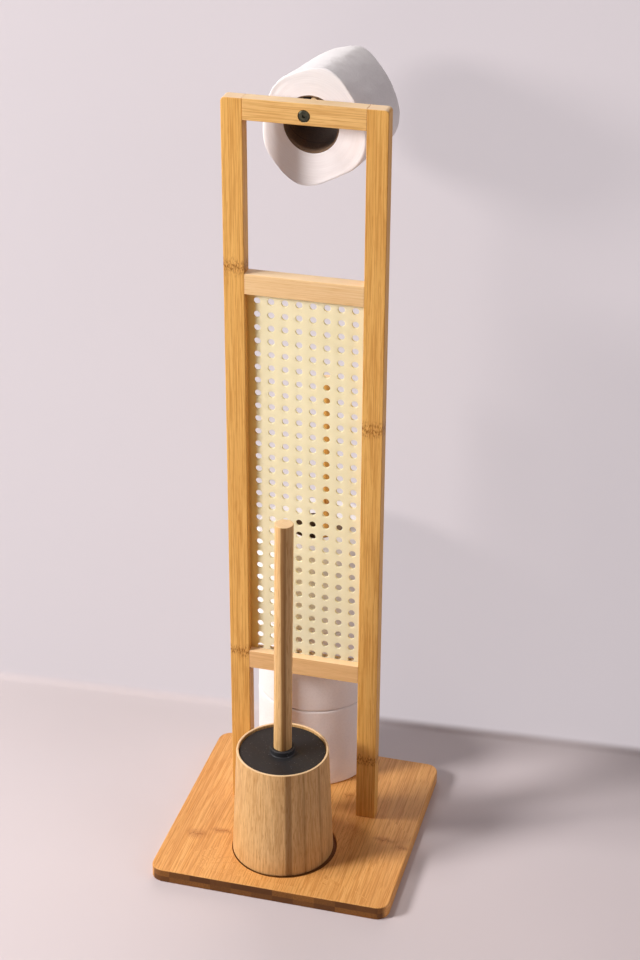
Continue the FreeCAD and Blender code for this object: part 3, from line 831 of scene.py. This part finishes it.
def makeCup(look):
    low, high = inMm("cup_sleeve")
    foot, top, bend = (high[0] - low[0]) / 2, high[2], look["rimRound"]
    profile = arc(foot - look["footRound"], low[2] + look["footRound"], look["footRound"], -90, 0, 8)
    profile += arc(look["rim"] - bend, top - bend, bend, 0, 90)
    profile += arc(look["bore"] + bend, top - bend, bend, 90, 180)
    profile += [(look["bore"], look["floor"])]
    piece = turned(profile, cupMiddle, look["sides"])
    hand(piece, "cupSleeve", "cup", ["cup_sleeve"], cupBamboo)


def makeLiner(look):
    low, high = inMm("cup_liner")
    outer, top = (high[0] - low[0]) / 2, high[2] - look["lidGap"]
    inner, floor = outer - look["wall"], low[2] + look["floor"]
    foot, rim, bend = look["footRound"], look["rimRound"], look["floorRound"]
    profile = arc(outer - foot, low[2] + foot, foot, -90, 0, 6) + arc(outer - rim, top - rim, rim, 0, 90, 4)
    profile += arc(inner + rim, top - rim, rim, 90, 180, 4) + arc(inner - bend, floor + bend, bend, 0, -90, 6)
    piece = turned(profile, cupMiddle, look["sides"])
    hand(piece, "cupLiner", "bucket", ["cup_liner"], blackPlastic)


makeCup(cupLook)
makeLiner(linerLook)
print("cup and liner done")

lidLook = {"rim": 42.1, "under": 124.6, "top": 127.6, "rimRound": 1.0, "rimEdge": 0.4, "skirt": 40.2,
           "skirtInside": 38.2, "skirtUnder": 118.6, "edge": 0.5, "collar": 12.3, "collarTop": 133.6,
           "collarRound": 0.8, "socket": 8.9, "socketFloor": 126.6, "sides": 128}
handleLook = {"lean": 0.01, "short": 1.2, "footRound": 0.5, "endRound": 1.0, "sides": 64}
stemLook = {"flare": 4.0, "sides": 48, "headFoot": 8.0, "headRound": 1.5, "headSides": 64}


def makeLid(look):
    under, top, rim, bend, lip = [look[key] for key in ("under", "top", "rim", "rimRound", "rimEdge")]
    inside, skirt, foot, edge = [look[key] for key in ("skirtInside", "skirt", "skirtUnder", "edge")]
    collar, collarTop, curve, socket = [look[key] for key in ("collar", "collarTop", "collarRound", "socket")]
    profile = [(inside, under), (inside, foot + edge), (inside + edge, foot), (skirt - edge, foot)]
    profile += [(skirt, foot + edge), (skirt, under), (rim - lip, under), (rim, under + lip)]
    profile += arc(rim - bend, top - bend, bend, 0, 90)
    profile += arc(collar + curve, top + curve, curve, 270, 180, 4)
    profile += arc(collar - curve, collarTop - curve, curve, 0, 90, 4)
    profile += [(socket + edge, collarTop), (socket, collarTop - edge), (socket, look["socketFloor"])]
    piece = turned(profile, cupMiddle, look["sides"])
    hand(piece, "brushLid", "brush", ["brush_lid"], blackPlastic)


def makeHandle(look):
    low, high = inMm("brush_handle")
    profile = dowelProfile((high[0] - low[0]) / 2, low[2], high[2] - look["short"], look)
    piece = turned(profile, cupMiddle, look["sides"])
    for v in piece.data.vertices:  # it stands a touch out of true
        v.co.x += (v.co.z - low[2] * mm) * look["lean"]
    hand(piece, "brushHandle", "brush", ["brush_handle"], handleBamboo)


def makeStem(look):
    low, high = inMm("brush_stem")
    radius, bend = (high[0] - low[0]) / 2, look["flare"]
    profile = [(radius, low[2]), (radius, high[2] - bend)] + arc(radius + bend, high[2] - bend, bend, 180, 90)
    piece = turned(profile, cupMiddle, look["sides"])
    hand(piece, "brushStem", "brush", ["brush_stem"], blackPlastic)
    low, high = inMm("brush_head")
    radius, foot, bend = (high[0] - low[0]) / 2, look["headFoot"], look["headRound"]
    profile = arc(radius - foot, low[2] + foot, foot, -85, 0, 7)
    profile += arc(radius - bend, high[2] - bend, bend, 0, 90, 4)
    piece = turned(profile, cupMiddle, look["headSides"])
    hand(piece, "brushHead", "brush", ["brush_head"], blackPlastic)


bristleLook = {"rows": 11, "tuftsRound": 22, "root": 10.5, "tip": 35.6, "endSpace": 4.0, "hairsRound": 6,
               "hairRoot": 0.42, "hairTip": 0.26, "hairSides": 4, "hairGap": 0.9, "tipSpread": 1.3}


def joinUp(pieces):
    take(*pieces)
    bpy.ops.object.join()
    return bpy.context.object


def makeBristles(look):
    low, high = inMm("bristles")
    x, y = cupMiddle
    root, length, around = look["root"], look["tip"] - look["root"], look["hairsRound"]
    # one tuft: a handful of thin hairs that spread to their tips
    hairs = []
    for index in range(around + 1):
        turn = index * math.tau / around
        gap = 0.0 if index == around else look["hairGap"]  # the last hair is the middle one
        restMode()
        bpy.ops.mesh.primitive_cone_add(vertices=look["hairSides"], radius1=look["hairRoot"] * mm,
                                        radius2=look["hairTip"] * mm, depth=length * mm, end_fill_type="NGON",
                                        location=(0, 0, (root + length / 2) * mm))
        hair = settle()
        for v in hair.data.vertices:  # the root is tight and the tip is spread
            out = gap * (1 + look["tipSpread"] * (v.co.z / mm - root) / length)
            v.co.x += out * math.cos(turn) * mm
            v.co.y += out * math.sin(turn) * mm
        hairs.append(hair)
    tuft = joinUp(hairs)
    setDown(tuft, (0, 0, 0), (0, 90, 0))
    # rows of tufts round the head, each row turned by half a step
    rowRise = (high[2] - low[2] - 2 * look["endSpace"]) / (look["rows"] - 1)
    tufts = []
    for row in range(look["rows"]):
        for index in range(look["tuftsRound"]):
            copy = tuft.copy()
            copy.data = tuft.data.copy()
            bpy.context.scene.collection.objects.link(copy)
            turn = (index + 0.5 * (row % 2)) * math.tau / look["tuftsRound"]
            copy.rotation_euler = (0, 0, turn)
            copy.location = (x * mm, y * mm, (low[2] + look["endSpace"] + row * rowRise) * mm)
            tufts.append(copy)
    bpy.data.objects.remove(tuft)
    piece = joinUp(tufts)
    settle()
    hand(piece, "brushBristles", "brush", ["bristles"], bristleNylon)


makeLid(lidLook)
makeHandle(handleLook)
makeStem(stemLook)
makeBristles(bristleLook)
print("brush done")

# fasteners and dowels keep their CAD shapes
for node, material in (("base_bolts", blackSteel), ("base_inserts", brassInsert), ("arm_insert", brassInsert),
                       ("handle_stud", zincSteel), ("rail_dowels", crossBamboo)):
    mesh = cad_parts[node].data
    mesh.materials.clear()
    mesh.materials.append(material)
print("fasteners finished")


def seenPlainly(tree):
    # 1 for what the camera sees itself, in a reflection or through something clear
    path = addNode(tree, "ShaderNodeLightPath").node.outputs
    seen = maths(tree, "MAXIMUM", path["Is Camera Ray"], path["Is Glossy Ray"])
    return maths(tree, "MAXIMUM", seen, path["Is Transmission Ray"])


stageLook = {"light": "D3C7C7", "second": "CDC0C0", "wall": "E0D7DC", "glowShare": 0.7, "glowFrom": 1.0,
             "cloudScale": 3.0, "cloudDetail": 2.0, "roughness": 0.85, "floorSize": 12.0, "behind": 200.0,
             "coveRound": 10.0, "coveAngle": 40, "lift": 0.2, "lap": 20.0, "height": 3000.0, "turn": 3.5,
             "near": 750.0, "far": 1500.0}


def studioPaper(look):
    # matt paper, seen from its face side only
    material, tree, shader = newMaterial("paleStudioPaper")
    place = addNode(tree, "ShaderNodeTexCoord", out="Object")
    cloud = grainy(tree, place, look["cloudScale"], look["cloudDetail"])
    colour = blend(tree, cloud, linear(look["light"]), linear(look["second"]))
    fill(tree, shader, {"Base Color": colour, "Roughness": look["roughness"]})
    height = split(tree, place)[2]
    rise = spread(tree, height, look["glowFrom"] * mm, look["coveRound"] * mm, 0.0, look["glowShare"],
                  "SMOOTHSTEP")
    away = vectors(tree, "LENGTH", vectors(tree, "MULTIPLY", place, (1, 1, 0)), out="Value")
    far = spread(tree, away, look["near"] * mm, look["far"] * mm, kind="SMOOTHSTEP")
    far = maths(tree, "MULTIPLY", far, seenPlainly(tree))  # far off, paper is plain pale
    rise = maths(tree, "MAXIMUM", rise, far)
    glow = addNode(tree, "ShaderNodeEmission", {"Color": linear(look["wall"]), "Strength": 1.0})
    paper = mixShaders(tree, rise, shader.outputs[0], glow)
    back = addNode(tree, "ShaderNodeNewGeometry", out="Backfacing")
    clear = addNode(tree, "ShaderNodeBsdfTransparent")
    fill(tree, tree.nodes["Material Output"], {"Surface": mixShaders(tree, back, paper, clear)})
    return material


def makeStage(look):
    material = studioPaper(look)
    restMode()
    bpy.ops.mesh.primitive_plane_add(size=look["floorSize"], location=(0, 0, 0))
    floor = bpy.context.object
    floor.name = "floor"
    # the backdrop rises from the floor in a small cove
    bend, behind = look["coveRound"], look["behind"]
    bpy.ops.mesh.primitive_plane_add(size=look["floorSize"], location=(0, 0, look["lift"] * mm))
    backdrop = settle()
    backdrop.name = "backdrop"
    start = (behind - bend) * mm
    for v in backdrop.data.vertices:
        v.co.y = start if v.co.y > 0 else start - look["lap"] * mm
    goTo("EDIT")
    pick(backdrop, "EDGE", lambda e: all(v.co.y > start - mm for v in e.verts))
    path = arc(behind - bend, bend, bend, -90, 0, 8) + [(behind, look["height"])]
    for (y, z), (nextY, nextZ) in zip(path, path[1:]):
        step = (0, (nextY - y) * mm, (nextZ - z) * mm)
        bpy.ops.mesh.extrude_region_move(TRANSFORM_OT_translate={"value": step})
    goTo("OBJECT")
    setDown(backdrop, (0, 0, 0), (0, 0, look["turn"]))
    bpy.ops.object.shade_smooth_by_angle(angle=math.radians(look["coveAngle"]))
    backdrop.visible_diffuse = False  # light from behind the stand still reaches it
    backdrop.visible_shadow = False
    for piece in (floor, backdrop):
        piece.data.materials.append(material)


makeStage(stageLook)

lampLook = {  # way the light travels, how steeply it falls, distance, width, level and colour
    "keyFront": (34.0, 24.0, 1.97, 0.5, 1.2, "FDFCFD"),
    "keyHigh": (13.0, 66.0, 2.4, 0.35, 0.33, "FFFCFA"),
    "fillRight": (170.0, 28.0, 3.2, 2.0, 0.27, "F8F2F6"),
    "fillBack": (285.0, 28.0, 3.2, 2.5, 0.35, "FAF4F6"),
}


def makeLamps(lamps):
    aim = Vector((0, 0, 0.4))  # the middle of the stand
    for name, (travel, rise, away, size, level, colour) in lamps.items():
        travel, rise = math.radians(travel), math.radians(rise)
        way = Vector((math.cos(travel) * math.cos(rise), math.sin(travel) * math.cos(rise), -math.sin(rise)))
        restMode()
        bpy.ops.object.light_add(type="AREA", location=aim - way * away)
        light = bpy.context.object
        light.name = name
        light.rotation_euler = way.to_track_quat("-Z", "Y").to_euler()
        light.data.shape = "DISK"
        light.data.size = size
        light.data.color = linear(colour)[:3]
        light.data.energy = level * (math.pi * away) ** 2  # level 1 lights a facing surface to its own colour


makeLamps(lampLook)

worldLook = {"ambient": "F1EAEF", "ambientLevel": 0.04, "background": "E0D7DC"}


def makeWorld(look):
    world = bpy.data.worlds.new("studio")
    bpy.context.scene.world = world
    world.use_nodes = True
    tree = world.node_tree
    tree.nodes.clear()
    soft = {"Color": linear(look["ambient"]), "Strength": look["ambientLevel"]}
    soft = addNode(tree, "ShaderNodeBackground", soft)
    seen = addNode(tree, "ShaderNodeBackground", {"Color": linear(look["background"]), "Strength": 1.0})
    mixed = mixShaders(tree, seenPlainly(tree), soft, seen)
    fill(tree, tree.nodes.new("ShaderNodeOutputWorld"), {"Surface": mixed})


makeWorld(worldLook)

cameraLook = {"place": (443.43, -1597.23, 1278.67), "yaw": 14.854, "pitch": -27.913, "roll": 0.304,
              "lens": 75.63}


def makeCamera(look):
    restMode()
    bpy.ops.object.camera_add()
    camera = bpy.context.object
    camera.name = "photoCamera"
    camera.data.lens = look["lens"]
    yaw = Matrix.Rotation(math.radians(look["yaw"]), 4, "Z")
    pitch = Matrix.Rotation(math.radians(90 + look["pitch"]), 4, "X")
    roll = Matrix.Rotation(math.radians(look["roll"]), 4, "Z")
    camera.matrix_world = Matrix.Translation([p * mm for p in look["place"]]) @ yaw @ pitch @ roll
    bpy.context.scene.camera = camera


makeCamera(cameraLook)
bpy.context.scene.view_settings.view_transform = "Standard"
print("floor, lamps and camera ready")
